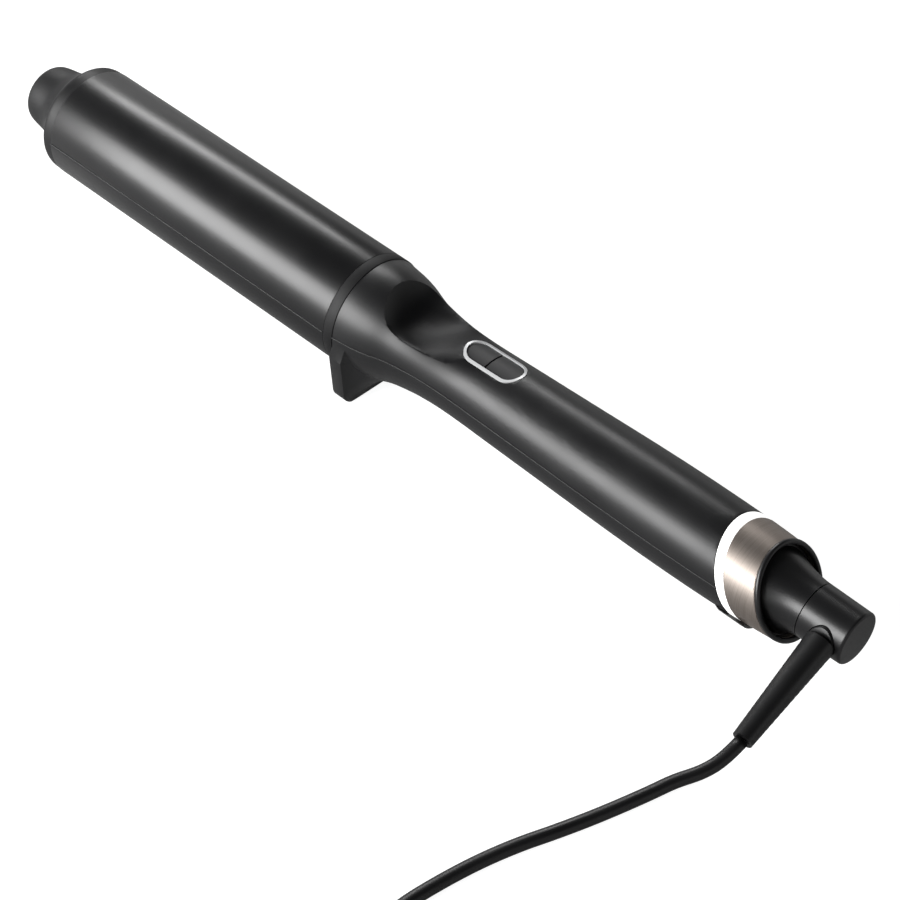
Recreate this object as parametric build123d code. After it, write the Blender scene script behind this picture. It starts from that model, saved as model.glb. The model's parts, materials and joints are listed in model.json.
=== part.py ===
from build123d import *
from math import atan2, cos, degrees, pi, radians, sin, sqrt, tan
import os
import numpy as np

# A curling wand with a smooth barrel, lying on its foot and heel with its mains lead.
# The wand is drawn along X: 0 is the barrel's mouth, the tip is at -X and the lead at +X.
# It is then tilted onto the surface that it rests on, with the origin under the foot.

# Shared clearances and overruns
seat_gap = 0.1
running_gap = 0.05
body_gap = 0.3
overrun = 4.0

# Barrel and tip
barrel_radius = 19.0
barrel_length = 129.5
barrel_wall = 1.8
split_height = 1.2
tip_length = 24.8
tip_shares = ((0.0, 0.995), (0.1, 0.992), (0.161, 0.978), (0.222, 0.911), (0.343, 0.779),
              (0.504, 0.653), (0.665, 0.6), (0.847, 0.563), (0.927, 0.526), (0.97, 0.46), (0.99, 0.38))
tip_neck_share = 0.574
tip_wall = 2.5
tip_hollow_depth = 19.0
tip_post_radius = 4.0
tip_screw_radius = 1.5
tip_screw_length = 21.0
tip_screw_head_radius = 3.0
tip_screw_head = 1.6
insulator_length = 9.5

# Heater inside the barrel
block_gap = 0.8
block_wall = 2.0
block_web = 2.5
plate_width = 14.0
plate_thickness = 1.5
plate_inset = 2.0
plate_tail = 6.0
thermistor_size = (4.0, 3.0, 2.0)
thermistor_share = 0.42
fuse_radius = 1.5
fuse_length = 10.0
fuse_place_share = 0.6
shield_thickness = 1.4
bush_inner_length = 16.0
bush_outer_length = 12.0
collar_wall = 4.0
bush_bore = 9.0
lead_radius = 0.8
heater_lead_spacing = 8.6
heater_lead_lap = 7.0

# Collar and handle
collar_length = 3.8
handle_radius = 14.5
handle_length = 148.6
handle_wall = 2.0
front_wall = 3.0
waist_depth = 1.65
flare_shares = ((0.0, 0.956), (0.008, 0.922), (0.0444, 0.778), (0.0808, 0.511), (0.1171, 0.133))
waist_shares = ((0.1528, 0.243), (0.1884, 0.665), (0.2584, 1.0), (0.362, 0.848), (0.4973, 0.545),
                (0.6285, 0.243), (0.7571, 0.0), (0.9166, 0.0), (1.0175, 0.242), (1.078, 0.545),
                 (1.132, 0.909))
handle_slope_shares = (0.12, 0.08)
slant = 25.2

# Thumb scoop: along the handle, its depth and how far its sides rise
scoop_place = 7.7
scoop_length = 40.5
scoop_half_width = 15.0
scoop_shares = ((0.0, 1.379, 0.18), (0.0395, 1.2, 0.18), (0.0815, 1.034, 0.207), (0.1235, 0.869, 0.214),
                (0.21, 0.641, 0.221), (0.296, 0.562, 0.207), (0.383, 0.538, 0.186), (0.531, 0.59, 0.05),
                (0.654, 0.683, -0.17), (0.778, 0.80, -0.43), (0.901, 0.91, -0.62), (1.0, 0.99, -0.69))

# Foot and heel
foot_place = 4.2
barrel_clearance = 5.2
foot_thickness = 5.0
foot_top_half_width = 17.9
foot_wide_half_width = 20.0
foot_wide_drop = 5.5
foot_half_width = 17.6
foot_corner = 5.4
foot_blend_length = 13.0
foot_blend_half_width = 12.4
foot_blend_drop = 12.0
foot_blend_corner = 7.0
foot_shares = ((0.0, 0.0), (0.1, 0.26), (0.24, 0.48), (0.42, 0.68), (0.66, 0.86), (1.0, 1.0))
foot_under = 0.4
heel_place = 5.6
heel_drop = 17.0
heel_before = 5.0
heel_after = 3.4
heel_half_width = 3.8
heel_edge = 1.0
heel_lip_radius = 14.9
heel_lip_drop = 7.6
heel_lip_ramp = 6.0

# Keys and their frame
keys_place = 38.8
keys_length = 22.1
keys_width = 10.2
bezel_width = 0.85
bezel_proud = 0.15
bezel_depth = 3.6
key_recess = 0.3
key_travel = 0.5
divider_place = 10.4
divider_width = 0.6
flange_lip = 1.3
flange_thickness = 0.8
stem_length = 0.35
stem_radius = 1.8

# Circuit board and what it carries
board_gap = 6.0
board_edge_gap = 1.85
board_thickness = 1.6
pillar_radius = 2.5
pillar_inset = 3.8
board_screw_radius = 1.0
board_screw_head_radius = 1.8
board_screw_head = 1.0
board_screw_length = 6.0
switch_side = 6.0
switch_height = 2.0
plunger_radius = 1.6
plunger_height = 0.5
capacitor_radius = 4.2
capacitor_length = 14.0
relay_size = (16.0, 10.0, 7.5)
chip_size = (8.0, 8.0, 1.5)
part_gap = 4.2
lead_drop_share = 1.5
mains_lead_spacing = 13.0

# Screws that close the handle
post_radius = 3.0
shell_screw_radius = 1.4
shell_screw_head_radius = 2.5
shell_screw_head = 1.6
shell_screw_length = 12.5
shell_screw_drop = 8.0
front_post_place = 26.2
rear_post_inset = 12.4

# Slanted rings and the end cap
light_length = 2.9
trim_length = 10.6
trim_wall = 1.2
sleeve_inset = 3.5
sleeve_wall = 1.5
sleeve_length = 3.4
rib_length = 4.0
led_board_thickness = 1.0
led_board_width = 0.9
led_radius = 0.4
led_count = 12
led_length = 1.0
cap_thickness = 2.6
cap_groove_depth = 1.2
bell_shares = ((0.0, 0.0, 0.0), (0.26, 0.42, 0.28), (0.58, 0.8, 0.64), (1.0, 1.0, 1.0))
neck_reach = 9.3
hub_length = 12.2

# Cord swivel
swivel_radius = 8.6
swivel_end_radius = 8.3
swivel_length = 15.2
swivel_wall = 1.7
swivel_front_wall = 2.2
swivel_plug_length = 1.5
swivel_edge = 0.9
spindle_radius = 5.0
spindle_length = 14.0
spindle_bore = 3.0
nose_radius = 3.6
nose_length = 4.5
clip_thickness = 0.7
clip_depth = 0.5
clip_width = 2.0
slip_ring_width = 1.4
slip_ring_gap = 0.6
slip_ring_wall = 0.9
brush_block_length = 8.0
brush_width = 1.2

# Cord boot
boot_place = 8.5
boot_length = 36.0
boot_droop = 15.3
boot_lean = 4.4
boot_root_radius = 4.6
boot_end_radius = 3.1
boot_neck_radius = 4.4
boot_neck_length = 3.4
boot_slot_pitch = 2.2
boot_slot_width = 1.1
boot_slot_depth = 1.1
boot_slot_start = 3.6
boot_slots = 13
boot_slot_share = 0.5
boot_slot_turn = 30.0
clamp_length = 1.8
clamp_radius = 3.5
core_radius = 1.1
core_spread_share = 1.4

# Mains lead, on the surface that the wand rests on; the free stretch starts at the boot's end.
# Along X these points are measured from the handle's end.
cord_diameter = 4.0
arc_share = 0.45
run_points = ((26.6, -50.0, 4.1), (24.6, -56.8, 2.5), (21.0, -63.8, 2.0), (19.1, -71.5, 2.0),
              (14.6, -86.3, 2.0), (10.1, -98.7, 2.0), (6.3, -107.9, 2.0), (2.8, -119.1, 2.0),
              (0.2, -131.1, 2.0), (-1.8, -145.0, 2.0), (-0.4, -160.0, 2.05), (4.6, -174.5, 2.3),
              (11.4, -186.5, 2.7), (14.6, -196.8, 2.9), (14.6, -205.0, 2.9))
tail_points = ((80.6, -205.0, 16.7), (80.6, -196.0, 16.7), (81.0, -182.0, 13.2), (82.1, -168.0, 9.2),
               (82.6, -158.0, 6.85), (82.6, -150.0, 6.85))
coil_layer_step = 4.6
coil_layers = 4
coil_outer = 33.0
coil_inner = 14.6
coil_ease = 0.8
coil_steps = 8
strap_thickness = 0.8
strap_width = 10.0
strap_gap = 0.1
strap_side_gap = 0.3
sample_step = 1.0

# Plug
plug_length = 36.0
plug_width = 35.2
plug_neck_width = 11.0
plug_shoulder_share = 0.55
plug_height = 13.7
plug_rounding = 2.4
plug_edge = 1.2
pin_radius = 2.0
pin_shank_radius = 1.7
pin_shoulder = 0.3
pin_length = 19.0
pin_spacing = 18.6
pin_root = 8.0

# Places that follow from the sizes above
slope = tan(radians(slant))
handle_end = collar_length + handle_length
light_end = handle_end + light_length
trim_end = light_end + trim_length
cap_face = trim_end - cap_groove_depth
cap_start = cap_face - cap_thickness
neck_end = trim_end + neck_reach
hub_start = neck_end - hub_length
flare = barrel_radius - handle_radius
barrel_bore = barrel_radius - barrel_wall
insert_radius = barrel_bore - seat_gap
bush_outer_radius = barrel_radius - collar_wall
tip_hollow_radius = tip_neck_share * barrel_radius - tip_wall
block_end = -bush_inner_length - shield_thickness - 2 * seat_gap
block_start = -barrel_length + insulator_length + tip_screw_head + block_gap
foot_x = collar_length + foot_place
foot_drop = barrel_radius + barrel_clearance
heel_x = handle_end + heel_place
scoop_start = collar_length + scoop_place
keys_start = collar_length + keys_place
key_centre = keys_start + keys_length / 2
divider_x = keys_start + divider_place
waist_radius = handle_radius - waist_depth
bezel_floor = waist_radius - bezel_depth
flange_top = bezel_floor - body_gap - seat_gap
stem_end = flange_top - flange_thickness - stem_length
switch_top = stem_end - key_travel - seat_gap
board_top = switch_top - plunger_height - switch_height
board_height = board_top - board_thickness
board_width = 2 * (waist_radius - handle_wall - board_edge_gap)
front_post_x = collar_length + front_post_place
rear_post_x = handle_end - rear_post_inset
board_start = front_post_x + board_gap
board_end = rear_post_x - board_gap
sleeve_radius = handle_radius - sleeve_inset
swivel_start = neck_end + body_gap
swivel_end = neck_end + swivel_length
boot_x = swivel_start + boot_place
run_places = [(handle_end + x, y, z) for x, y, z in run_points]
tail_places = [(handle_end + x, y, z) for x, y, z in tail_points]
tilt = degrees(atan2(foot_drop - heel_drop, heel_x - foot_x))
reach = barrel_length + handle_end
stand = Rotation(0, tilt, 0) * Pos(-foot_x, 0, foot_drop)
boot_way = Vector(tan(radians(boot_lean)), -1, -tan(radians(boot_droop))).normalized()
boot_seat = Vector(boot_x, -swivel_radius, 0)


def turned(points):
    """A solid turned about the wand's axis from (x, radius) corners."""
    return revolve(make_face(Polyline(*points, close=True)), Axis.X)


def rod(start, end, radius, y=0, z=0):
    """A round bar parallel to the wand's axis."""
    return Pos(start, y, z) * turned(((0, 0), (end - start, 0), (end - start, radius), (0, radius)))


def tube(start, end, outer, inner):
    """A round tube on the wand's axis."""
    return turned(((start, inner), (end, inner), (end, outer), (start, outer)))


def block(start, end, width, low, high, y=0):
    """A box from start to end along the wand, centred on y."""
    return Pos((start + end) / 2, y, (low + high) / 2) * Box(end - start, width, high - low)


def post(x, radius, low, high, y=0):
    """An upright round post."""
    return Pos(x, y, (low + high) / 2) * Cylinder(radius, high - low)


def slanted(start, end):
    """The slab between two slanted planes, whose tops lean towards the tip."""
    size = 2 * barrel_radius
    side = ((start + slope * size, -size), (end + slope * size, -size),
            (end - slope * size, size), (start - slope * size, size))
    return extrude(Plane.XZ * make_face(Polyline(*side, close=True)), size, both=True)


def slanted_ring(start, end, outer, inner):
    """A tube on the wand's axis cut by two slanted planes."""
    low = start - slope * outer - overrun
    high = end + slope * outer + overrun
    return tube(low, high, outer, inner) & slanted(start, end)


def handle_form(inset, start, end):
    """The handle's outside, drawn in by inset, from start to end along the wand."""
    curve = [(collar_length + along * handle_length, handle_radius + spread * flare - inset)
             for along, spread in flare_shares]
    curve += [(collar_length + along * handle_length, handle_radius - dip * waist_depth - inset)
              for along, dip in waist_shares]
    profile = Spline(*curve, tangents=[(1, -fall) for fall in handle_slope_shares])
    last = curve[-1]
    edge = profile + Polyline(last, (reach, last[1]), (reach, 0), (collar_length, 0), curve[0])
    return revolve(make_face(edge), Axis.X) & rod(start, end, 2 * barrel_radius)


def rear_ring(start, end, inset, inner):
    """A slanted slice of the handle's form, drawn in by inset, with a round bore."""
    low = start - slope * barrel_radius
    high = end + slope * barrel_radius
    slice = handle_form(inset, low, high) & slanted(start, end)
    return slice - rod(low - overrun, high + overrun, inner)


def half(solid, upper):
    """The part of a solid above or below the parting plane."""
    size = 4 * reach
    side = 1 if upper else -1
    return solid & (Pos(0, 0, split_height + side * size / 2) * Box(size, size, size))


def scoop(drop):
    """The thumb scoop's cutter, moved down and forward by drop."""
    top = 2 * handle_radius
    sections = []
    for along, depth, rise in scoop_shares:
        mid = depth * handle_radius
        side = mid + rise * handle_radius
        arc = ThreePointArc((-scoop_half_width, side), (0, mid), (scoop_half_width, side))
        rest = Polyline((scoop_half_width, side), (scoop_half_width, top),
                        (-scoop_half_width, top), (-scoop_half_width, side))
        place = Plane(origin=(scoop_start + along * scoop_length, 0, 0), x_dir=(0, 1, 0), z_dir=(1, 0, 0))
        sections.append(place * make_face(arc + rest))
    return Pos(-drop / 2, 0, -drop) * loft(sections)


def foot_outline(x, share):
    """The foot's outline at x: the plate's at share 0, drawn into the handle at share 1."""
    top = foot_top_half_width + share * (foot_blend_half_width - foot_top_half_width)
    wide = foot_wide_half_width + share * (foot_blend_half_width - foot_wide_half_width)
    low = foot_half_width + share * (foot_blend_half_width - foot_half_width)
    drop = foot_drop + foot_under + share * (foot_blend_drop - foot_drop - foot_under)
    wide_drop = foot_wide_drop * drop / (foot_drop + foot_under)
    outline = make_face(Polyline((-top, 0), (-wide, -wide_drop), (-low, -drop), (low, -drop),
                                 (wide, -wide_drop), (top, 0), close=True))
    corner = foot_corner + share * (foot_blend_corner - foot_corner)
    outline = fillet(outline.vertices().sort_by(Axis.Y)[:2], corner)
    return Plane(origin=(x, 0, 0), x_dir=(0, 1, 0), z_dir=(1, 0, 0)) * outline


def foot():
    """The wide foot under the collar: a plate whose back runs into the handle."""
    toe = collar_length + foot_thickness
    plate = extrude(foot_outline(collar_length, 0), foot_thickness)
    back = loft([foot_outline(toe + along * foot_blend_length, share) for along, share in foot_shares])
    return plate + back


def heel():
    """The pad under the handle's rear end, and the lip that laps the rings from below."""
    start = heel_x - heel_before
    end = heel_x + heel_after
    lip = turned(((start - heel_lip_ramp, 0), (end, 0), (end, heel_lip_radius), (start, heel_lip_radius),
                  (start - heel_lip_ramp, waist_radius)))
    lip = lip & block(start - heel_lip_ramp - overrun, end + overrun, 2 * barrel_radius, -barrel_radius,
                      -heel_lip_drop)
    pad = block(start, end, 2 * heel_half_width, -heel_drop - heel_edge, -sleeve_radius)
    pad = fillet(pad.edges().filter_by(Axis.Z), heel_edge)
    rings = handle_form(-seat_gap, collar_length, reach) & slanted(handle_end, reach + reach)
    return lip + pad - rings


def floor_cut():
    """Everything below the surface that the wand rests on, in the wand's frame."""
    size = 4 * reach
    return stand.inverse() * (Pos(0, 0, -size / 2) * Box(size, size, size))


def shell_posts(radius, low, high):
    """The two posts for the screws that close the handle."""
    return post(front_post_x, radius, low, high) + post(rear_post_x, radius, low, high)


def pillars(radius, low, high):
    """The two pillars that carry the circuit board."""
    front = post(board_start + pillar_inset, radius, low, high)
    return front + post(board_end - pillar_inset, radius, low, high)


def handle_blank():
    """The closed handle: outside, foot, heel and scoop, before it is hollowed and split."""
    blank = handle_form(0, collar_length, reach) + foot()
    blank = blank - slanted(handle_end, reach + reach)
    return blank + heel() - scoop(0) - floor_cut()


def handle_hollow():
    """The room inside the handle, with the ribs that hold the bush and the tail sleeve."""
    room = handle_form(handle_wall, collar_length + front_wall, reach) - scoop(handle_wall)
    rib = slanted_ring(handle_end - rib_length - led_board_thickness - 2 * led_length,
                       handle_end - led_board_thickness - 2 * led_length,
                       barrel_radius, sleeve_radius + seat_gap)
    front = rod(collar_length - overrun, collar_length + front_wall + overrun, bush_outer_radius + seat_gap)
    room = room - rib
    return room + (front & rod(collar_length - overrun, collar_length + front_wall, barrel_radius))


def pill(grow, low, high):
    """The keys' pill shape, drawn larger by grow and stood upright."""
    outline = SlotOverall(keys_length + 2 * grow, keys_width + 2 * grow)
    return extrude(Pos(key_centre, 0, low) * outline, high - low)


def handle_shells():
    """The handle's two shells."""
    blank = handle_blank()
    room = handle_hollow()
    deep = 2 * barrel_radius
    lower_room = room - pillars(pillar_radius, -deep, board_height) - shell_posts(post_radius, -deep, deep)
    upper_room = room - shell_posts(post_radius, -deep, deep)
    hole = shell_posts(shell_screw_radius + seat_gap, -shell_screw_drop, shell_screw_length - shell_screw_drop
                       + seat_gap)
    sink = shell_posts(shell_screw_head_radius + seat_gap, -deep, -shell_screw_drop)
    pilot = pillars(board_screw_radius + seat_gap, board_height - board_screw_length, board_top)
    lower = half(blank - lower_room, False) - hole - sink - pilot
    upper = half(blank - upper_room, True) - hole - pill(seat_gap, 0, deep)
    return upper, lower


def key_pieces():
    """The keys' frame and the two keys, each with its flange and stem."""
    top = 2 * handle_radius
    frame = pill(0, bezel_floor, top) - pill(-bezel_width, 0, top)
    frame = frame & handle_form(-bezel_proud, collar_length, handle_end)
    shape = pill(-bezel_width - body_gap, bezel_floor - body_gap - flange_thickness, top)
    shape = shape & handle_form(key_recess, collar_length, handle_end)
    flange = pill(-bezel_width - body_gap + flange_lip, flange_top - flange_thickness, flange_top)
    both = shape + flange
    first = block(keys_start - overrun, divider_x - divider_width / 2, 2 * keys_width, 0, top)
    second = block(divider_x + divider_width / 2, keys_start + keys_length + overrun, 2 * keys_width, 0, top)
    keys = []
    for side, x in ((first, front_switch_x()), (second, rear_switch_x())):
        keys.append((both & side) + post(x, stem_radius, stem_end, flange_top))
    return frame, keys[0], keys[1]


def front_switch_x():
    """The place of the front key's switch, under the middle of the key."""
    return (keys_start + divider_x) / 2


def rear_switch_x():
    """The place of the power key's switch, under the middle of the key."""
    return (divider_x + keys_start + keys_length) / 2


def barrel_pieces():
    """The barrel's half shells, the tip and what holds them."""
    shell = tube(-barrel_length, 0, barrel_radius, barrel_bore)
    curve = [(-barrel_length - along * tip_length, share * barrel_radius) for along, share in tip_shares]
    end = -barrel_length - tip_length
    profile = Spline(*curve) + Polyline(curve[-1], (end, 0), (-barrel_length, 0), curve[0])
    hollow_end = -barrel_length - tip_hollow_depth
    tip = revolve(make_face(profile), Axis.X)
    tip = tip - tube(hollow_end, -barrel_length, tip_hollow_radius, tip_post_radius)
    screw_head = -barrel_length + insulator_length
    hole = rod(screw_head - tip_screw_length - seat_gap, -barrel_length, tip_screw_radius + seat_gap)
    tip = tip - hole
    insulator = tube(-barrel_length, screw_head, insert_radius, tip_screw_radius + seat_gap)
    screw = rod(screw_head - tip_screw_length, screw_head, tip_screw_radius)
    screw = screw + rod(screw_head, screw_head + tip_screw_head, tip_screw_head_radius)
    return half(shell, True), half(shell, False), tip, insulator, screw


def heater_pieces():
    """The heat blocks, the heater plate, its sensors, the shield, the bush and the leads."""
    start, end = block_start, block_end
    ring = tube(start, end, insert_radius, insert_radius - block_wall)
    face = plate_thickness / 2 + running_gap
    web = block(start, end, 2 * insert_radius, face, face + block_web) & rod(start, end, insert_radius)
    upper = (ring & block(start, end, 2 * barrel_radius, face, barrel_radius)) + web
    lower = mirror(upper, Plane.XY)
    plate = block(start + plate_inset, end + plate_tail + shield_thickness, plate_width,
                  -plate_thickness / 2, plate_thickness / 2)
    long, wide, tall = thermistor_size
    at = start + thermistor_share * (end - start)
    floor = face + block_web
    thermistor = block(at, at + long, wide, floor, floor + tall)
    at = start + fuse_place_share * (end - start)
    fuse = rod(at, at + fuse_length, fuse_radius, 0, -floor - fuse_radius)
    shield = tube(end + seat_gap, end + seat_gap + shield_thickness, insert_radius, bush_bore)
    bush = tube(-bush_inner_length, 0, insert_radius, bush_bore)
    bush = bush + tube(0, bush_outer_length, bush_outer_radius, bush_bore)
    collar = tube(0, collar_length, barrel_radius, bush_outer_radius + seat_gap)
    height = plate_thickness / 2 + running_gap + lead_radius
    first = end + plate_tail - shield_thickness
    leads = Compound([rod(first, board_start + heater_lead_lap, lead_radius, side, height)
                      for side in (-heater_lead_spacing / 2, heater_lead_spacing / 2)])
    return upper, lower, plate, thermistor, fuse, shield, bush, collar, leads


def board_pieces():
    """The circuit board, its switches, parts and screws, and the mains leads."""
    board = block(board_start, board_end, board_width, board_height, board_top)
    board = board - pillars(board_screw_radius + seat_gap, 0, board_top + overrun)
    switches = []
    for x in (front_switch_x(), rear_switch_x()):
        body = block(x - switch_side / 2, x + switch_side / 2, switch_side, board_top,
                     board_top + switch_height)
        switches.append(body + post(x, plunger_radius, board_top + switch_height, switch_top))
    screws = []
    for x in (board_start + pillar_inset, board_end - pillar_inset):
        shank = post(x, board_screw_radius, board_top - board_screw_length + seat_gap, board_top)
        screws.append(shank + post(x, board_screw_head_radius, board_top, board_top + board_screw_head))
    at = (board_start + board_end) / 2
    capacitor = rod(at, at + capacitor_length, capacitor_radius, 0, board_height - capacitor_radius)
    long, wide, tall = relay_size
    behind = at + capacitor_length + part_gap
    relay = block(behind, behind + long / 2, wide, board_height - tall, board_height)
    relay = relay + block(at - long - part_gap, at - part_gap, wide, board_height - tall, board_height)
    long, wide, tall = chip_size
    chip = block(at - long / 2, at + long / 2, wide, board_top, board_top + tall)
    parts = Compound([capacitor, *relay.solids(), chip])
    height = board_height - lead_drop_share * lead_radius
    leads = Compound([rod(board_end - pillar_inset, brush_start(), lead_radius, side, height)
                      for side in (-mains_lead_spacing / 2, mains_lead_spacing / 2)])
    return board, Compound(switches), Compound(screws), parts, leads


def shell_screw_pair():
    """The two screws that close the handle."""
    pair = []
    for x in (front_post_x, rear_post_x):
        shank = post(x, shell_screw_radius, -shell_screw_drop, shell_screw_length - shell_screw_drop)
        pair.append(shank + post(x, shell_screw_head_radius, -shell_screw_drop - shell_screw_head,
                                 -shell_screw_drop))
    return Compound(pair)


def brush_start():
    """The front of the brush block, a slip ring gap ahead of the spindle's nose."""
    return swivel_start - spindle_length - brush_block_length


def ring_pieces():
    """The light ring with its board and lamps, the trim ring, its carrier and the sleeve."""
    inner = sleeve_radius + seat_gap
    light = rear_ring(handle_end, light_end, 0, inner)
    trim = rear_ring(light_end, trim_end, 0, inner) - handle_form(trim_wall, collar_length, reach)
    carrier = rear_ring(light_end, cap_start, trim_wall + seat_gap, inner)
    lamp_start = handle_end - led_length - seat_gap
    board = slanted_ring(lamp_start - led_board_thickness, lamp_start, inner + led_board_width, inner)
    lamps = []
    for step in range(led_count):
        angle = 2 * pi * step / led_count
        middle = inner + led_board_width / 2
        bar = rod(collar_length, reach, led_radius, middle * cos(angle), middle * sin(angle))
        lamps.append(bar & slanted(lamp_start, lamp_start + led_length))
    lamps = Compound([solid for lamp in lamps for solid in lamp.solids()])
    first = handle_end - slope * sleeve_radius - sleeve_length
    sleeve = tube(first, reach, sleeve_radius, sleeve_radius - sleeve_wall) & slanted(-reach, cap_start)
    return light, trim, carrier, board, lamps, sleeve


def end_cap():
    """The rear cap: a disc inside the trim ring, and a bell that narrows to the swivel."""
    base = waist_radius - trim_wall - seat_gap
    disc = handle_form(trim_wall + seat_gap, collar_length, reach) & slanted(cap_start, cap_face)
    sections = []
    for along, narrow, upright in bell_shares:
        lean = radians(slant) * (1 - upright)
        radius = base + narrow * (swivel_radius - base)
        place = Plane(origin=(cap_face + along * (neck_end - cap_face), 0, 0), x_dir=(0, 1, 0),
                      z_dir=(cos(lean), 0, sin(lean)))
        sections.append(place * Ellipse(radius, radius / cos(lean)))
    bore = sleeve_radius - sleeve_wall
    hub = rod(hub_start, neck_end, bore - seat_gap) & slanted(-reach, cap_face)
    cap = disc + loft(sections) + hub
    cap = cap - rod(hub_start - trim_length, hub_start, bore)
    return cap - rod(hub_start - overrun, neck_end + overrun, spindle_radius + running_gap)


def boot_frame(along):
    """A plane square to the cord boot, so far along it from the swivel's side."""
    return Plane(origin=boot_seat + boot_way * along, x_dir=(1, 0, tan(radians(boot_lean))), z_dir=boot_way)


def boot_rod(start, end, radius):
    """A round bar along the boot's own line."""
    return extrude(boot_frame(start) * Circle(radius), end - start)


def swivel_pieces():
    """The swivel's housing and spindle, its plug, clip, slip rings, brushes and wires."""
    plug_start = swivel_end - swivel_plug_length
    outer = turned(((swivel_start, 0), (plug_start, 0), (plug_start, swivel_end_radius),
                    (swivel_start, swivel_radius)))
    room = rod(swivel_start + swivel_front_wall, plug_start + overrun, swivel_radius - swivel_wall)
    nose_start = swivel_start - spindle_length - nose_length
    housing = (outer - room) + rod(swivel_start - spindle_length, swivel_start, spindle_radius)
    housing = housing + rod(nose_start, swivel_start - spindle_length, nose_radius)
    housing = housing - rod(nose_start - overrun, swivel_start + swivel_front_wall + overrun, spindle_bore)
    clip_end = hub_start - body_gap
    groove = tube(clip_end - clip_thickness - running_gap, clip_end + running_gap,
                  spindle_radius + overrun, spindle_radius - clip_depth)
    housing = housing - groove - boot_rod(-boot_neck_length - overrun, overrun, boot_neck_radius + seat_gap)
    clip = tube(clip_end - clip_thickness, clip_end, spindle_radius - clip_depth + clip_width,
                spindle_radius - clip_depth + running_gap)
    plug = rod(plug_start, swivel_end, swivel_end_radius)
    plug = fillet(plug.edges().sort_by(Axis.X)[-1:], swivel_edge)
    rings = []
    brushes = []
    for count in range(2):
        start = nose_start + slip_ring_gap + count * (slip_ring_width + slip_ring_gap)
        outside = nose_radius + seat_gap + slip_ring_wall
        rings.append(tube(start, start + slip_ring_width, outside, nose_radius + seat_gap))
        low = outside + body_gap
        high = spindle_radius + clip_width
        for side in (-1, 1):
            brushes.append(block(start, start + slip_ring_width, high - low, -brush_width / 2,
                                 brush_width / 2, side * (low + high) / 2))
    holder = tube(brush_start(), brush_start() + brush_block_length - slip_ring_gap,
                  sleeve_radius - sleeve_wall - seat_gap, spindle_radius + clip_width + seat_gap)
    return housing, plug, clip, Compound(rings), holder, Compound(brushes)


def boot_pieces():
    """The cord boot, the clamp behind it and the cable and cores inside."""
    cone = boot_frame(0) * Pos(0, 0, boot_length / 2) * Cone(boot_root_radius, boot_end_radius, boot_length)
    seat = swivel_radius - swivel_wall
    boot = cone - rod(swivel_start - overrun, swivel_end + overrun, swivel_radius + seat_gap)
    neck = boot_rod(-boot_neck_length, boot_length / 2, boot_neck_radius - seat_gap)
    neck = neck & rod(swivel_start, swivel_end + overrun, seat + overrun / 2)
    boot = boot + neck
    for count in range(boot_slots):
        along = boot_slot_start + count * boot_slot_pitch
        radius = boot_root_radius + (boot_end_radius - boot_root_radius) * along / boot_length
        for side in (-1, 1):
            cut = Box(2 * boot_slot_depth, boot_slot_share * radius, boot_slot_width)
            boot = boot - boot_frame(along) * Rot(0, 0, -boot_slot_turn) * Pos(side * radius, 0, 0) * cut
    cable_radius = cord_diameter / 2
    boot = boot - boot_rod(-boot_neck_length - overrun, boot_length + overrun, cable_radius + running_gap)
    clamp_end = -boot_neck_length - seat_gap
    clamp = boot_rod(clamp_end - clamp_length, clamp_end, clamp_radius)
    clamp = clamp - boot_rod(clamp_end - clamp_length - overrun, clamp_end + overrun,
                             cable_radius + running_gap)
    cable = boot_rod(clamp_end - clamp_length - seat_gap, boot_length, cable_radius)
    cores = [rod(swivel_start - spindle_length - nose_length, boot_x - cable_radius - body_gap - seat_gap,
                 core_radius, side * core_spread_share * core_radius) for side in (-1, 1)]
    return boot, clamp, Compound([cable, *cores])


def cord_path(points):
    """Straight runs joined by arcs as large as their runs allow, with the radii printed."""
    places = [Vector(*point) for point in points]
    radii = []
    for before, here, after in zip(places, places[1:], places[2:]):
        first = here - before
        second = after - here
        turn = first.get_angle(second)
        radii.append(arc_share * min(first.length, second.length) / tan(radians(turn) / 2))
    print("cord tube radii", [round(radius, 1) for radius in radii])
    return FilletPolyline(*places, radius=radii)


def swept(path):
    """The cord's round section swept along a path."""
    return sweep(Plane(origin=path @ 0, z_dir=path % 0) * Circle(cord_diameter / 2), path=path)


def coil_joints():
    """The ends of the coil's half turns: sides alternate, and the radius steps in and out."""
    step = (coil_outer - coil_inner) / coil_steps
    joints = []
    for layer in range(coil_layers):
        height = run_places[-1][2] + layer * coil_layer_step
        for count in range(coil_steps + 1):
            inward = layer % 2 == 0
            radius = coil_outer - count * step if inward else coil_inner + count * step
            if count == coil_steps and layer < coil_layers - 1:
                radius = radius - coil_ease if inward else radius + coil_ease
            if count == 0 and layer > 0:
                radius = radius + coil_ease if inward else radius - coil_ease
            side = -1 if len(joints) % 2 == 0 else 1
            joints.append(Vector(coil_centre.X + side * radius, coil_centre.Y, height))
    return joints


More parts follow.
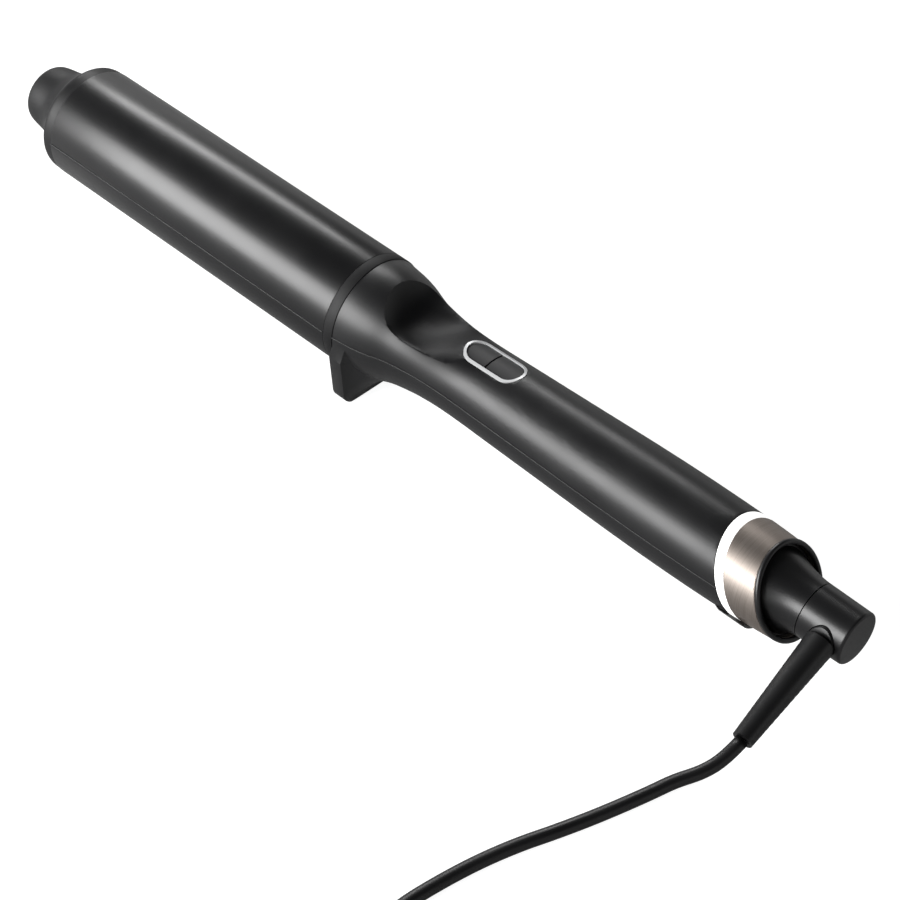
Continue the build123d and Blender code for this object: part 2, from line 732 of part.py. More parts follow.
def coil():
    """The put-away lead: half turns that spiral in and out, climbing at each reversal."""
    joints = coil_joints()
    straight = Vector(0, cord_diameter, 0)
    edges = [Line(joints[0] + straight, joints[0])]
    places = []
    for count, (first, second) in enumerate(zip(joints, joints[1:])):
        middle = (first + second) / 2
        radius = (second - first).length / 2
        side = -1 if count % 2 == 0 else 1
        edges.append(ThreePointArc(first, middle + Vector(0, side * radius, 0), second))
        steps = int(pi * radius / sample_step)
        for step in range(steps):
            angle = pi * step / steps
            place = middle + (first - middle) * cos(angle) + Vector(0, side * radius * sin(angle), 0)
            places.append((place.X, place.Y, place.Z))
    edges.append(Line(joints[-1], joints[-1] + straight))
    places = np.array(places)
    least = None
    for index in range(len(places)):
        others = places[index + int(4 * cord_diameter / sample_step):]
        if len(others):
            near = np.sqrt(((others - places[index]) ** 2).sum(axis=1)).min()
            least = near if least is None else min(least, near)
    print("coil half turns", len(joints) - 1, "least self gap", round(least - cord_diameter, 3))
    path = Wire([edge.edges()[0] for edge in edges])
    print("coil length", round(path.length, 1))
    return swept(path), joints


def coil_strap():
    """The strap round the coil's bundle, on the side away from the wand."""
    reach_in = coil_inner - coil_ease - cord_diameter / 2
    near = sqrt(reach_in ** 2 - (strap_width / 2) ** 2) - strap_side_gap
    far = coil_outer + coil_ease + cord_diameter / 2 + strap_side_gap
    low = run_places[-1][2] - cord_diameter / 2 - strap_gap
    high = low + (coil_layers - 1) * coil_layer_step + cord_diameter + 2 * strap_gap
    outer = Box(strap_width, far - near + 2 * strap_thickness, high - low + 2 * strap_thickness)
    inner = Box(2 * strap_width, far - near, high - low)
    return Pos(coil_centre.X, coil_centre.Y - (near + far) / 2, (low + high) / 2) * (outer - inner)


def plug_pieces():
    """The moulded two-pin plug and its pins, at the lead's far end."""
    end = Vector(*tail_places[-1])
    shoulder = plug_shoulder_share * plug_length
    outline = make_face(Polyline((-plug_neck_width / 2, 0), (-plug_width / 2, shoulder),
                                 (-plug_width / 2, plug_length), (plug_width / 2, plug_length),
                                 (plug_width / 2, shoulder), (plug_neck_width / 2, 0), close=True))
    outline = fillet(outline.vertices(), plug_rounding)
    body = Pos(end.X, end.Y, end.Z) * extrude(outline, plug_height / 2, both=True)
    body = fillet(body.edges().filter_by(GeomType.LINE).group_by(Axis.Z)[-1]
                  + body.edges().filter_by(GeomType.CIRCLE).group_by(Axis.Z)[-1]
                  + body.edges().filter_by(GeomType.LINE).group_by(Axis.Z)[0]
                  + body.edges().filter_by(GeomType.CIRCLE).group_by(Axis.Z)[0], plug_edge)
    pins = []
    for side in (-1, 1):
        place = Plane(origin=(end.X + side * pin_spacing / 2, end.Y + plug_length, end.Z), z_dir=(0, 1, 0))
        body = body - extrude(place * Circle(pin_shank_radius + running_gap), -pin_root)
        pin = extrude(place.offset(pin_shoulder) * Circle(pin_radius), pin_length - pin_shoulder)
        pin = fillet(pin.edges().sort_by(Axis.Y)[-1:], pin_radius / 4)
        shank = place.offset(running_gap - pin_root) * Circle(pin_shank_radius)
        pins.append(pin + extrude(shank, pin_root - running_gap + pin_shoulder))
    return body, Compound(pins)


coil_centre = Vector((run_places[-1][0] + tail_places[0][0]) / 2, run_places[-1][1] - cord_diameter, 0)
wand = {}
wand["barrel_upper"], wand["barrel_lower"], wand["cool_tip"], wand["tip_insulator"], \
    wand["tip_screw"] = barrel_pieces()
wand["heat_block_upper"], wand["heat_block_lower"], wand["heater_plate"], wand["thermistor"], \
    wand["thermal_fuse"], wand["heat_shield"], wand["barrel_bush"], wand["collar_ring"], \
    wand["heater_leads"] = heater_pieces()
wand["handle_upper"], wand["handle_lower"] = handle_shells()
wand["key_bezel"], wand["front_key"], wand["power_key"] = key_pieces()
wand["circuit_board"], wand["tact_switches"], wand["board_screws"], wand["board_parts"], \
    wand["mains_leads"] = board_pieces()
wand["shell_screws"] = shell_screw_pair()
wand["light_ring"], wand["trim_ring"], wand["ring_carrier"], wand["led_board"], wand["ring_leds"], \
    wand["tail_sleeve"] = ring_pieces()
wand["end_cap"] = end_cap()
wand["swivel_housing"], wand["swivel_plug"], wand["shaft_circlip"], wand["slip_rings"], \
    wand["brush_block"], wand["brushes"] = swivel_pieces()
wand["cord_boot"], wand["cord_clamp"], wand["inner_cable"] = boot_pieces()
nodes = {name: stand * solid for name, solid in wand.items()}

boot_tip = stand * Pos(boot_seat + boot_way * (boot_length + body_gap))
run_start = boot_tip.position
print("boot end", [round(value, 2) for value in run_start], "tilt", round(tilt, 3))
run_path = cord_path(((run_start.X, run_start.Y, run_start.Z), *run_places))
tail_path = cord_path(tail_places)
nodes["cord_run"] = swept(run_path)
nodes["cord_tail"] = swept(tail_path)
nodes["cord_coil"], coil_ends = coil()
nodes["coil_tie"] = coil_strap()
nodes["plug_body"], nodes["plug_pins"] = plug_pieces()
section = pi * cord_diameter ** 2 / 4
for name, path in (("cord_run", run_path), ("cord_tail", tail_path)):
    print(name, "length", round(path.length, 1), "volume share",
          round(nodes[name].volume / (section * path.length), 4))

os.makedirs("parts", exist_ok=True)
for name, solid in nodes.items():
    export_step(solid, f"parts/{name}.step")
print(len(nodes), "nodes")
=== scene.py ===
# %% [markdown]
# # A curling wand, dressed in Blender
# The wand comes in as a fixed frame of CAD solids, in metres: X runs from the tip to the handle's rear, Z is up, and
# the wand lies on its foot and heel. Every piece made here lands on that frame, so nothing is fitted by eye.

# %% Load the frame
import json
import math

import bmesh
import bpy
from mathutils import Matrix, Vector


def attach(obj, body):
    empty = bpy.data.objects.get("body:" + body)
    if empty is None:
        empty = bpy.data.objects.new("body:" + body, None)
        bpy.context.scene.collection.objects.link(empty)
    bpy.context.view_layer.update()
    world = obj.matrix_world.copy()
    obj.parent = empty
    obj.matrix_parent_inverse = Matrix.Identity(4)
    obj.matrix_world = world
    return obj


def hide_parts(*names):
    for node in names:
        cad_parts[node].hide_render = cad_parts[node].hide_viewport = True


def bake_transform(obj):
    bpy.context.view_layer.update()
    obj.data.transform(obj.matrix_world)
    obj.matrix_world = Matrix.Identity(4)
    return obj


MM = 0.001
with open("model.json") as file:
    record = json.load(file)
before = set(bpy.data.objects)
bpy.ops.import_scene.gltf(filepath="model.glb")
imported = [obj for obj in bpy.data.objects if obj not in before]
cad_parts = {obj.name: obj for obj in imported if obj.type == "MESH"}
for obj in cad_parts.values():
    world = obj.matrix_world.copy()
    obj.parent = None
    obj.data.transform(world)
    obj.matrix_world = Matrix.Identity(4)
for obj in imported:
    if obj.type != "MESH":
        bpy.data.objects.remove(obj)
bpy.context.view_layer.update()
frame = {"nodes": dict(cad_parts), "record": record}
bpy.ops.object.select_all(action="DESELECT")

# %% [markdown]
# ## The wand's own line
# The foot is taller than the heel, so the wand dips a little towards its rear. Its line is needed three times: for the
# grain of the trim ring, for the parting plane of the shells, and for the rim of the slanted ring.

# %% Line and planes of the wand
TILT = math.radians(2.748)
SLANT = math.radians(25.2)
AXIS_POINT = Vector((0.17496, 0, 0.01583))
AXIS_WAY = Vector((math.cos(TILT), 0, -math.sin(TILT)))
PARTING = Vector((math.sin(TILT), 0, math.cos(TILT)))
REAR = Vector((math.cos(SLANT - TILT), 0, math.sin(SLANT - TILT)))
print("tilt", round(math.degrees(TILT), 3), "slant", round(math.degrees(SLANT), 1), "degrees")

# %% [markdown]
# ## The camera
# The photograph looks down at the wand from the front right through a long lens, so the barrel hardly tapers. The
# place and turn were found from the rings: a ring's ellipse tells how steeply it is seen.

# %% Camera
bpy.ops.object.camera_add(
    location=(0.430943, -0.418603, 0.505284),
    rotation=[math.radians(turn) for turn in (48.2922, -0.3318, 44.1247)],
)
camera = bpy.context.object
camera.data.lens = 100
camera.data.sensor_width = 36
camera.data.clip_start = 0.01
bpy.context.scene.camera = camera
bpy.context.scene.view_settings.view_transform = "Standard"
print("camera", [round(value, 3) for value in camera.location])

# %% [markdown]
# ## Helpers for materials
# A material is a few nodes. One function adds a node with its settings and links, and one turns a hex colour, as a
# painter would pick it, into the linear numbers that Blender mixes.

# %% Node and colour helpers
def linear(code):
    """A hex colour as linear red, green, blue and alpha."""
    shares = [int(code[place:place + 2], 16) / 255 for place in (1, 3, 5)]
    return [share / 12.92 if share <= 0.04045 else ((share + 0.055) / 1.055) ** 2.4 for share in shares] + [1.0]


def add(tree, kind, inputs=None, **settings):
    """Adds one node, with its settings, and its inputs as values or as links."""
    made = tree.nodes.new(kind)
    for name, value in settings.items():
        setattr(made, name, value)
    for name, value in (inputs or {}).items():
        if isinstance(value, bpy.types.NodeSocket):
            tree.links.new(value, made.inputs[name])
        else:
            made.inputs[name].default_value = value
    return made


def blank(name):
    """A new material with nothing but its shader and output."""
    material = bpy.data.materials.new(name)
    material.use_nodes = True
    tree = material.node_tree
    tree.nodes.clear()
    shader = add(tree, "ShaderNodeBsdfPrincipled")
    add(tree, "ShaderNodeOutputMaterial", {"Surface": shader.outputs[0]})
    return material, tree, shader


print("middle grey", [round(value, 3) for value in linear("#808080")])

# %% [markdown]
# ## Moulded and coated finishes
# Moulded plastic is never one flat colour. Its grain is a fine noise that tilts the surface, and hands and handling
# make its gloss uneven over a few centimetres. One recipe with different numbers gives the soft-touch handle, the hard
# black caps and the coated barrel.

# %% Finish recipe
GLOSS_PATCH = 18.0  # mm


def finish(name, low, high, rough, uneven=0.06, grain=0.5, tilt=0.02, metal=0.0, specular=0.5):
    """A surface with a fine grain (mm) of some tilt (mm), patches of gloss and two close colours."""
    material, tree, shader = blank(name)
    place = add(tree, "ShaderNodeTexCoord").outputs["Object"]
    cloud = add(tree, "ShaderNodeTexNoise", {"Vector": place, "Scale": 1 / (GLOSS_PATCH * MM), "Detail": 4.0})
    fine = add(tree, "ShaderNodeTexNoise", {"Vector": place, "Scale": 1 / (grain * MM), "Detail": 3.0})
    colour = add(tree, "ShaderNodeMix", {"Factor": cloud.outputs[0]}, data_type="RGBA")
    colour.inputs[6].default_value = linear(low)
    colour.inputs[7].default_value = linear(high)
    gloss = add(tree, "ShaderNodeMapRange", {"Value": cloud.outputs[0], "From Min": 0.3, "From Max": 0.7,
                                             "To Min": rough - uneven, "To Max": rough + uneven})
    bump = add(tree, "ShaderNodeBump", {"Height": fine.outputs[0], "Strength": 0.6, "Distance": tilt * MM})
    tree.links.new(colour.outputs[2], shader.inputs["Base Color"])
    tree.links.new(gloss.outputs[0], shader.inputs["Roughness"])
    tree.links.new(bump.outputs[0], shader.inputs["Normal"])
    shader.inputs["Metallic"].default_value = metal
    shader.inputs["Specular IOR Level"].default_value = specular
    return material


print("patches of gloss", GLOSS_PATCH, "mm")

# %% Finishes that are seen
HANDLE_SHINE = 0.42
handle_skin = finish("Soft-touch ABS, black", "#111112", "#161617", 0.38, uneven=0.03, grain=0.35, tilt=0.015,
                     specular=HANDLE_SHINE)
barrel_skin = finish("Ceramic-coated aluminium, graphite", "#0d0d0e", "#121213", 0.31, uneven=0.02, grain=0.3,
                     tilt=0.01)
tip_skin = finish("Heat-resistant PET, black", "#101011", "#151516", 0.5, grain=0.4, tilt=0.012, specular=0.32)
collar_skin = finish("Glass-filled nylon, black", "#0c0c0d", "#111112", 0.55, grain=0.4, tilt=0.02, specular=0.25)
cap_skin = finish("Moulded ABS, black", "#101011", "#151516", 0.33, uneven=0.03, grain=0.4, tilt=0.012)
key_skin = finish("Moulded polycarbonate, dark grey", "#242425", "#2a2a2b", 0.5, uneven=0.03, grain=0.3,
                  tilt=0.01, specular=0.3)
bright_skin = finish("Satin silver lacquer on ABS", "#bfc0c1", "#cccdce", 0.35, uneven=0.03, grain=0.2, tilt=0.004,
                     metal=0.25)
cord_skin = finish("Moulded PVC, black", "#0b0b0c", "#101011", 0.42, uneven=0.04, grain=0.3, tilt=0.02)
pin_skin = finish("Nickel-plated brass", "#b9b4a4", "#c8c3b2", 0.22, grain=0.2, tilt=0.006, metal=1.0)
print("finishes", len(bpy.data.materials))

# %% Finishes inside
inner_skin = finish("Phenolic board and insulation, brown", "#5a4a34", "#6b5940", 0.6, grain=0.5, tilt=0.03)
board_skin = finish("Glass-epoxy laminate, green", "#173d22", "#1f4a2b", 0.4, grain=0.4, tilt=0.02)
part_skin = finish("Component epoxy, charcoal", "#26282b", "#303236", 0.5, grain=0.3, tilt=0.02)
ceramic_skin = finish("Alumina ceramic, white", "#d2cec6", "#dedad2", 0.5, grain=0.3, tilt=0.02)
wire_skin = finish("Silicone wire insulation, red", "#8a1f18", "#a02820", 0.5, grain=0.3, tilt=0.02)
alloy_skin = finish("Extruded aluminium", "#a8abaf", "#b9bcc0", 0.35, grain=0.3, tilt=0.01, metal=1.0)
screw_skin = finish("Zinc-plated steel", "#9c9ea1", "#b4b6b8", 0.3, grain=0.2, tilt=0.01, metal=1.0)
brass_skin = finish("Brass", "#a9853f", "#b8944c", 0.3, grain=0.2, tilt=0.01, metal=1.0)
print("finishes", len(bpy.data.materials))

# %% [markdown]
# ## The thumb rest
# The hollow behind the collar is textured for grip, so it shines less than the rest of the handle. It is one piece with
# the handle, so no second material can be laid on it cleanly. Instead, an egg-shaped room round the hollow turns the
# handle's shine down from its edge to its middle.

# %% Matt thumb rest
REST_MIDDLE = Vector((0.0275, 0, 0.0335))
REST_REACH = Vector((0.026, 0.0145, 0.0165))
REST_SHINE = 0.1
tree = handle_skin.node_tree
place = add(tree, "ShaderNodeTexCoord").outputs["Object"]
from_middle = add(tree, "ShaderNodeVectorMath", {0: place, 1: REST_MIDDLE}, operation="SUBTRACT")
egg = add(tree, "ShaderNodeVectorMath", {0: from_middle.outputs[0], 1: REST_REACH}, operation="DIVIDE")
deep = add(tree, "ShaderNodeVectorMath", {0: egg.outputs[0]}, operation="LENGTH")
matt = add(tree, "ShaderNodeMapRange", {"Value": deep.outputs["Value"], "From Min": 0.6, "From Max": 1.0,
                                        "To Min": REST_SHINE, "To Max": HANDLE_SHINE},
           interpolation_type="SMOOTHSTEP")
tree.links.new(matt.outputs[0], tree.nodes["Principled BSDF"].inputs["Specular IOR Level"])
print("thumb rest shine", REST_SHINE, "handle shine", HANDLE_SHINE)

# %% [markdown]
# ## Brushed steel
# The trim ring is turned steel, rubbed round and round, so its scratches run round the ring and its highlights spread
# along the wand. A noise that is fine along the wand and coarse across it gives that grain.

# %% Brushed trim
SCRATCH_WIDTH = 0.12  # mm
SCRATCH_LENGTH = 9.0  # mm
trim_skin, tree, shader = blank("Brushed stainless steel, warm")
place = add(tree, "ShaderNodeTexCoord").outputs["Object"]
fine, coarse = 1 / (SCRATCH_WIDTH * MM), 1 / (SCRATCH_LENGTH * MM)
along = add(tree, "ShaderNodeMapping", {"Vector": place, "Rotation": (0, TILT, 0), "Scale": (fine, coarse, coarse)})
scratch = add(tree, "ShaderNodeTexNoise", {"Vector": along.outputs[0], "Scale": 1.0, "Detail": 3.0})
tone = add(tree, "ShaderNodeMix", {"Factor": scratch.outputs[0]}, data_type="RGBA")
tone.inputs[6].default_value = linear("#7c736c")
tone.inputs[7].default_value = linear("#aba29b")
rub = add(tree, "ShaderNodeMapRange", {"Value": scratch.outputs[0], "To Min": 0.4, "To Max": 0.54})
line = add(tree, "ShaderNodeBump", {"Height": scratch.outputs[0], "Strength": 0.5, "Distance": 0.006 * MM})
tree.links.new(tone.outputs[2], shader.inputs["Base Color"])
tree.links.new(rub.outputs[0], shader.inputs["Roughness"])
tree.links.new(line.outputs[0], shader.inputs["Normal"])
shader.inputs["Metallic"].default_value = 1.0
print("scratches", SCRATCH_WIDTH, "by", SCRATCH_LENGTH, "mm")

# %% [markdown]
# ## The light ring
# A ring of milky plastic is lit from inside. It gives off its own light, even all round, strong enough to look white in
# a bright room and weak enough not to light up its neighbours.

# %% Lit plastic
light_skin, tree, shader = blank("Milky polycarbonate, lit")
shader.inputs["Base Color"].default_value = linear("#f4f4f0")
shader.inputs["Roughness"].default_value = 0.3
shader.inputs["Emission Color"].default_value = linear("#ffffff")
shader.inputs["Emission Strength"].default_value = 0.75
print("light ring strength", shader.inputs["Emission Strength"].default_value)

# %% [markdown]
# ## Dressing the solids
# The CAD solids come in as loose triangles. A copy with its doubles merged can be shaded smooth, so the round parts
# catch the light as one surface. The normals that came with it belong to the loose triangles, so they are dropped. A
# bevel of a fraction of a millimetre breaks the sharp edges that would look cut from paper. The copy stands for the
# solid and rides on the same body.

# %% Copy and smooth a solid
SAME_PLACE = 0.002 * MM
SMOOTH_BELOW = math.radians(26)
SHARP_ABOVE = math.radians(55)
body_of = {node: body for body, nodes in frame["record"]["behaviour"]["bodies"].items() for node in nodes}


def copied(node, name):
    """A copy of a CAD node's mesh as a new object, the only one selected."""
    made = bpy.data.objects.new(name, frame["nodes"][node].data.copy())
    bpy.context.collection.objects.link(made)
    bpy.ops.object.select_all(action="DESELECT")
    made.select_set(True)
    bpy.context.view_layer.objects.active = made
    return made


def dress(node, material, bevel=0.0):
    """A smooth copy of a CAD node that stands for it, with its sharp edges broken by bevel (mm)."""
    made = copied(node, f"{node}_skin")
    shape = bmesh.new()
    shape.from_mesh(made.data)
    bmesh.ops.remove_doubles(shape, verts=shape.verts, dist=SAME_PLACE)
    bmesh.ops.dissolve_degenerate(shape, edges=shape.edges, dist=SAME_PLACE)
    shape.to_mesh(made.data)
    shape.free()
    if "custom_normal" in made.data.attributes:
        made.data.attributes.remove(made.data.attributes["custom_normal"])
    made.data.materials.clear()
    made.data.materials.append(material)
    if bevel:
        edge = made.modifiers.new("broken_edges", "BEVEL")
        edge.width = bevel * MM
        edge.segments = 2
        edge.limit_method = "ANGLE"
        edge.angle_limit = SHARP_ABOVE
        edge.use_clamp_overlap = False
        bpy.ops.object.modifier_apply(modifier=edge.name)
    bpy.ops.object.shade_smooth_by_angle(angle=SMOOTH_BELOW)
    made.select_set(False)
    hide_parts(node)
    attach(made, body_of[node])
    return made


print("bodies of", len(body_of), "nodes known")

# %% Outer pieces
skins = {
    "cool_tip": tip_skin, "barrel_upper": barrel_skin, "barrel_lower": barrel_skin, "collar_ring": collar_skin,
    "handle_upper": handle_skin, "handle_lower": handle_skin, "key_bezel": bright_skin, "front_key": key_skin,
    "power_key": key_skin, "light_ring": light_skin, "trim_ring": trim_skin, "end_cap": cap_skin,
    "swivel_housing": cap_skin, "swivel_plug": cap_skin, "cord_boot": cord_skin, "plug_body": cord_skin,
    "plug_pins": pin_skin, "coil_tie": cord_skin,
}
bevels = {"handle_upper": 0.18, "handle_lower": 0.18, "barrel_upper": 0.15, "barrel_lower": 0.15, "trim_ring": 0.3,
          "collar_ring": 0.2}
for node, material in skins.items():
    dressed = dress(node, material, bevel=bevels.get(node, 0.0))
    print(dressed.name, "faces", len(dressed.data.polygons))

# %% [markdown]
# ## The parting lines
# Two moulded shells never meet quite flush. The lower one stands a hair proud, and its edge catches the light as a fine
# bright line. The edges that lie on the parting plane and on the outside are found by their faces' normals, and all
# else is deleted from a copy. Turned to a curve, given a round section and made a mesh again, they follow the real
# joint wherever the shape flares.

# %% Which edges a bead follows
def off_axis(place):
    """The way from the wand's own line out to a place."""
    out = place - AXIS_POINT
    return out - AXIS_WAY * out.dot(AXIS_WAY)


def lid_and_wall(edge, way):
    """The face that looks a way and the face beside it that doesn't, where an edge has one of each."""
    lids = [face for face in edge.link_faces if face.normal.dot(way) > 0.999]
    walls = [face for face in edge.link_faces if abs(face.normal.dot(way)) < 0.9]
    return (lids[0], walls[0]) if len(lids) == 1 and len(walls) == 1 else None


def on_joint(edge):
    """Whether an edge is an outer edge of a lower shell's joint."""
    pair = lid_and_wall(edge, PARTING)
    first, second = (vertex.co.y for vertex in edge.verts)
    return bool(pair) and abs(first - second) < 2 * MM and pair[1].normal.y * math.copysign(1, first) > 0.35


def on_rear_rim(edge):
    """Whether an edge is on the outside of a slanted ring's rear face."""
    pair = lid_and_wall(edge, REAR)
    return bool(pair) and pair[1].normal.dot(off_axis(pair[1].calc_center_median())) > 0


print("a bead follows the edges of faces that look", [round(value, 3) for value in PARTING], "or",
      [round(value, 3) for value in REAR])

# %% Fine bead along each joint
def bead(node, skin, name, radius, chosen, section=1, inward=0.0, back=0.0):
    """A round bead, radius in mm, along the chosen edges of a CAD node, moved inward and back by so many mm."""
    made = copied(node, name)
    bpy.ops.object.mode_set(mode="EDIT")
    bpy.ops.mesh.select_mode(type="EDGE")
    bpy.ops.mesh.select_all(action="SELECT")
    bpy.ops.mesh.remove_doubles(threshold=SAME_PLACE)
    bpy.ops.mesh.select_all(action="DESELECT")
    for edge in bmesh.from_edit_mesh(made.data).edges:
        edge.select_set(len(edge.link_faces) != 2 or not chosen(edge))
    bpy.ops.mesh.delete(type="EDGE")
    bpy.ops.object.mode_set(mode="OBJECT")
    for vertex in made.data.vertices:
        vertex.co += REAR * back * MM - off_axis(vertex.co).normalized() * inward * MM
    bpy.ops.object.convert(target="CURVE")
    made.data.bevel_depth = radius * MM
    made.data.bevel_resolution = section
    made.data.use_fill_caps = True
    bpy.ops.object.convert(target="MESH")
    made.data.materials.clear()
    made.data.materials.append(skin)
    bpy.ops.object.shade_smooth()
    made.select_set(False)
    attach(made, body_of[node])
    ends = [round(pick(vertex.co.x for vertex in made.data.vertices) / MM, 1) for pick in (min, max)]
    print(name, "faces", len(made.data.polygons), "from", ends[0], "to", ends[1], "mm")


bead("handle_lower", handle_skin, "handle_joint_line", 0.2, on_joint)
bead("barrel_lower", barrel_skin, "barrel_joint_line", 0.16, on_joint)

# %% [markdown]
# ## The end cap's lip
# The black cap laps over the trim ring's end with a round lip, so the bright steel never shows a cut edge. The ring's
# rear rim is followed in the same way, moved in to the middle of the steel's thickness and back by the lip's own depth.

# %% Lip round the trim ring's end
bead("trim_ring", cap_skin, "end_cap_lip", 0.85, on_rear_rim, section=4, inward=0.6, back=0.75)

# %% [markdown]
# ## The pieces inside
# Nothing inside is seen, so those solids keep their own meshes. They still get true finishes, because the wand may be
# opened or cut through later.

# %% Finishes of the pieces inside
inside = {
    "tip_insulator": inner_skin, "barrel_bush": inner_skin, "heat_shield": inner_skin, "tip_screw": screw_skin,
    "board_screws": screw_skin, "shell_screws": screw_skin, "shaft_circlip": screw_skin,
    "heat_block_upper": alloy_skin, "heat_block_lower": alloy_skin, "heater_plate": ceramic_skin,
    "thermistor": ceramic_skin, "thermal_fuse": ceramic_skin, "circuit_board": board_skin, "led_board": board_skin,
    "board_parts": part_skin, "tact_switches": part_skin, "brush_block": part_skin, "ring_leds": light_skin,
    "heater_leads": wire_skin, "mains_leads": wire_skin, "ring_carrier": cap_skin, "tail_sleeve": cap_skin,
    "slip_rings": brass_skin, "brushes": brass_skin, "inner_cable": cord_skin, "cord_clamp": cord_skin,
}
for node, material in inside.items():
    solid = frame["nodes"][node]
    solid.data.materials.clear()
    solid.data.materials.append(material)
print("pieces inside", len(inside))

# %% [markdown]
# ## The mains lead
# A lead has a fixed length and a steady thickness. Its line is one smooth spline through the points that a fitter would
# mark on the table: out of the boot, down to the surface, in a slow curve, and then round and round into the coil. The
# coil is made of half turns that spiral in and out, and it climbs a layer at each reversal.

# %% Route of the lead, in mm
exit_point = (0.17918, -0.04352, 0.00606)
run_points = ((179.0, -50.0, 4.1), (177.0, -56.8, 2.5), (173.4, -63.8, 2.0), (171.5, -71.5, 2.0),
              (167.0, -86.3, 2.0), (162.5, -98.7, 2.0), (158.7, -107.9, 2.0), (155.2, -119.1, 2.0),
              (152.6, -131.1, 2.0), (150.6, -145.0, 2.0), (152.0, -160.0, 2.05), (157.0, -174.5, 2.3),
              (163.8, -186.5, 2.7), (167.0, -196.8, 2.9), (167.0, -205.0, 2.9))
tail_points = ((233.0, -205.0, 16.7), (233.0, -196.0, 16.7), (233.4, -182.0, 13.2), (234.5, -168.0, 9.2),
               (235.0, -158.0, 6.85), (235.0, -150.0, 6.85))
print("points of the run", len(run_points), "and of the tail", len(tail_points))

# %% Ends of the coil's half turns
COIL_CENTRE = Vector((200.0, -209.0, 0.0))
COIL_OUTER, COIL_INNER = 33.0, 14.6
COIL_STEPS, COIL_LAYERS = 8, 4
COIL_FOOT, COIL_RISE = 2.9, 4.6
COIL_EASE = 0.8  # how far the turns beside a reversal are set apart
coil_step = (COIL_OUTER - COIL_INNER) / COIL_STEPS
joints = []
for layer in range(COIL_LAYERS):
    inward = layer % 2 == 0
    for count in range(COIL_STEPS + 1):
        radius = COIL_OUTER - count * coil_step if inward else COIL_INNER + count * coil_step
        if count == COIL_STEPS and layer < COIL_LAYERS - 1:
            radius += -COIL_EASE if inward else COIL_EASE
        if count == 0 and layer > 0:
            radius += COIL_EASE if inward else -COIL_EASE
        side = -1 if len(joints) % 2 == 0 else 1
        joints.append(COIL_CENTRE + Vector((side * radius, 0, COIL_FOOT + layer * COIL_RISE)))
print("half turns", len(joints) - 1)

# %% Points of the coil
ARC_POINTS = 12
ARC_SWELL = 1.005  # the spline cuts inside its points, so they stand a little outside the turn
coil_points = []
for count, (first, second) in enumerate(zip(joints, joints[1:])):
    middle = (first + second) / 2
    reach = (second - first).length / 2
    side = -1 if count % 2 == 0 else 1
    for part in range(ARC_POINTS):
        angle = math.pi * (part + 0.5) / ARC_POINTS
        spread = (first - middle) * math.cos(angle) + Vector((0, side * reach * math.sin(angle), 0))
        coil_points.append(middle + spread * ARC_SWELL)
print("coil points", len(coil_points))

# %% Spline of the lead
curve = bpy.data.curves.new("lead_route", "CURVE")
curve.dimensions = "3D"
spline = curve.splines.new("NURBS")
route = [Vector(exit_point) / MM] + [Vector(point) for point in run_points] + coil_points
route += [Vector(point) for point in tail_points]
spline.points.add(len(route) - 1)
for point, place in zip(spline.points, route):
    point.co = (*(place * MM), 1)
spline.order_u = 3
spline.use_endpoint_u = True
spline.resolution_u = 4
route_object = bpy.data.objects.new("lead_route", curve)
bpy.context.collection.objects.link(route_object)
bpy.context.view_layer.update()
line_mesh = bpy.data.meshes.new_from_object(route_object)
path = [vertex.co.copy() for vertex in line_mesh.vertices]
bpy.data.objects.remove(route_object)

# %% Tube of the lead
TUBE_SIDES = 14
CORD_RADIUS = 2.0 * MM
shape = bmesh.new()
rings = []
normal = Vector((1, 0, 0))
for index, place in enumerate(path):
    before = path[max(index - 1, 0)]
    after = path[min(index + 1, len(path) - 1)]
    way = (after - before).normalized()
    normal = (normal - way * normal.dot(way)).normalized()
    across = way.cross(normal)
    angles = [2 * math.pi * side / TUBE_SIDES for side in range(TUBE_SIDES)]
    spokes = [normal * math.cos(angle) + across * math.sin(angle) for angle in angles]
    rings.append([shape.verts.new(place + CORD_RADIUS * spoke) for spoke in spokes])
for first, second in zip(rings, rings[1:]):
    for side in range(TUBE_SIDES):
        other = (side + 1) % TUBE_SIDES
        shape.faces.new((first[side], first[other], second[other], second[side]))
shape.faces.new(list(reversed(rings[0])))
shape.faces.new(rings[-1])
for face in shape.faces:
    face.smooth = True
lead_mesh = bpy.data.meshes.new("mains_lead")
shape.to_mesh(lead_mesh)
shape.free()
print("lead faces", len(lead_mesh.polygons))

# %% The lead as a piece
lead = bpy.data.objects.new("mains_lead", lead_mesh)
bpy.context.collection.objects.link(lead)
lead.data.materials.append(cord_skin)
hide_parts("cord_run", "cord_coil", "cord_tail")
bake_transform(lead)
print("lead stands for the run, the coil and the tail")

# %% [markdown]
# ## Table
# The wand lies on a white sweep. The sweep gives off its own light towards the lens, so it photographs as clean white,
# and much less towards glossy pieces, whose undersides would look grey otherwise. Its own colour is a middle grey, so
# that it throws little light back up.

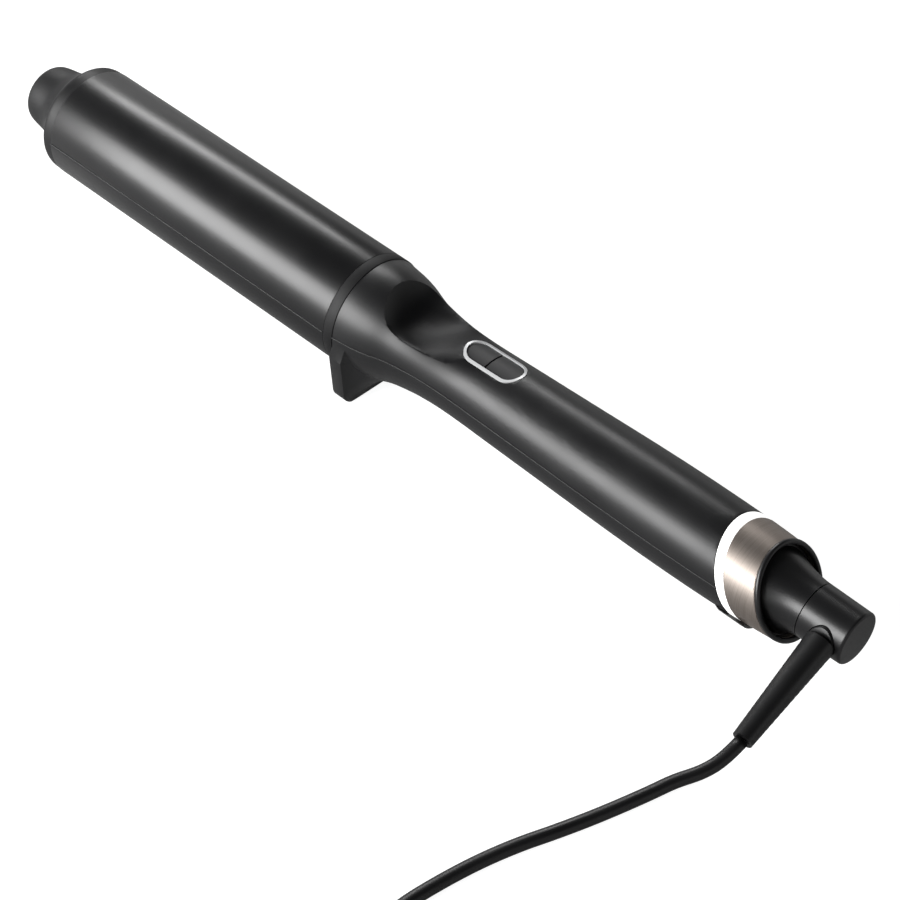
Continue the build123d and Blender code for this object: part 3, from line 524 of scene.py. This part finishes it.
# %% Floor
FLOOR_TO_LENS = 0.93
FLOOR_TO_GLOSS = 0.08
bpy.ops.mesh.primitive_plane_add(size=6, location=(0, 0, -0.0002))
floor = bpy.context.object
floor.name = "white_sweep"
paper, tree, shader = blank("White paper sweep")
shader.inputs["Base Color"].default_value = linear("#9a9a9a")
shader.inputs["Roughness"].default_value = 0.95
shader.inputs["Specular IOR Level"].default_value = 0.0
shader.inputs["Emission Color"].default_value = (1, 1, 1, 1)
rays = add(tree, "ShaderNodeLightPath")
mirrored = add(tree, "ShaderNodeMath", {0: rays.outputs["Is Glossy Ray"], 1: rays.outputs["Is Transmission Ray"]},
               operation="MAXIMUM")
dimmed = add(tree, "ShaderNodeMath", {0: mirrored.outputs[0], 1: FLOOR_TO_GLOSS}, operation="MULTIPLY")
to_lens = add(tree, "ShaderNodeMath", {0: rays.outputs["Is Camera Ray"], 1: FLOOR_TO_LENS}, operation="MULTIPLY")
glow = add(tree, "ShaderNodeMath", {0: to_lens.outputs[0], 1: dimmed.outputs[0]}, operation="MAXIMUM")
tree.links.new(glow.outputs[0], shader.inputs["Emission Strength"])
floor.data.materials.append(paper)
print("floor at", round(floor.location.z / MM, 2), "mm")

# %% [markdown]
# ## The room
# A studio with a white sweep is bright all round and dark overhead. Black plastic shows that as bright lines along its
# sides and a deep black along its top. The direction of a world ray is its Generated coordinate, and its Z is the sine
# of its height above the table.

# %% World
LOW_LIGHT, HIGH_LIGHT = 0.7, 0.03
world = bpy.data.worlds.new("studio")
bpy.context.scene.world = world
world.use_nodes = True
tree = world.node_tree
tree.nodes.clear()
way = add(tree, "ShaderNodeTexCoord")
height = add(tree, "ShaderNodeSeparateXYZ", {0: way.outputs["Generated"]})
room = add(tree, "ShaderNodeMapRange", {"Value": height.outputs["Z"], "From Min": 0.1, "From Max": 0.55,
                                        "To Min": LOW_LIGHT, "To Max": HIGH_LIGHT},
           interpolation_type="SMOOTHSTEP")
rays = add(tree, "ShaderNodeLightPath")
strength = add(tree, "ShaderNodeMath", {0: room.outputs[0], 1: rays.outputs["Is Camera Ray"]}, operation="MAXIMUM")
air = add(tree, "ShaderNodeBackground", {"Color": (1, 1, 1, 1), "Strength": strength.outputs[0]})
add(tree, "ShaderNodeOutputWorld", {"Surface": air.outputs[0]})
print("room light", LOW_LIGHT, "low and", HIGH_LIGHT, "overhead")

# %% [markdown]
# ## Lamps
# A cylinder mirrors only what lies on a cone round its own line. Seen from this lens, that cone points to the far left,
# so both lamps stand there: a strip low in front gives the wide band on the barrel's near side, and a narrower, dimmer
# one behind gives the second band near its far edge.

# %% Lamps
LAMP_TARGET = Vector((-0.02, 0, 0.02))


def lamp(name, way, distance, size, power):
    """A soft strip, parallel to the wand, that faces it from a direction."""
    place = LAMP_TARGET + Vector(way).normalized() * distance
    bpy.ops.object.light_add(type="AREA", location=place)
    made = bpy.context.object
    made.name = name
    made.data.shape = "RECTANGLE"
    made.data.size, made.data.size_y = size
    made.data.energy = power
    made.visible_camera = False
    ahead = (LAMP_TARGET - place).normalized()
    across = (Vector((1, 0, 0)) - ahead * ahead.x).normalized()
    turn = Matrix((across, ahead.cross(across) * -1, -ahead)).transposed()
    made.rotation_euler = turn.to_euler()
    print(name, "at", [round(value, 2) for value in place], "size", size, "power", power)


lamp("front_strip", (-0.36, -0.78, 0.36), 0.93, (1.2, 0.48), 22)
lamp("back_strip", (-0.6, 0.539, 0.665), 1.25, (0.95, 0.21), 7.4)
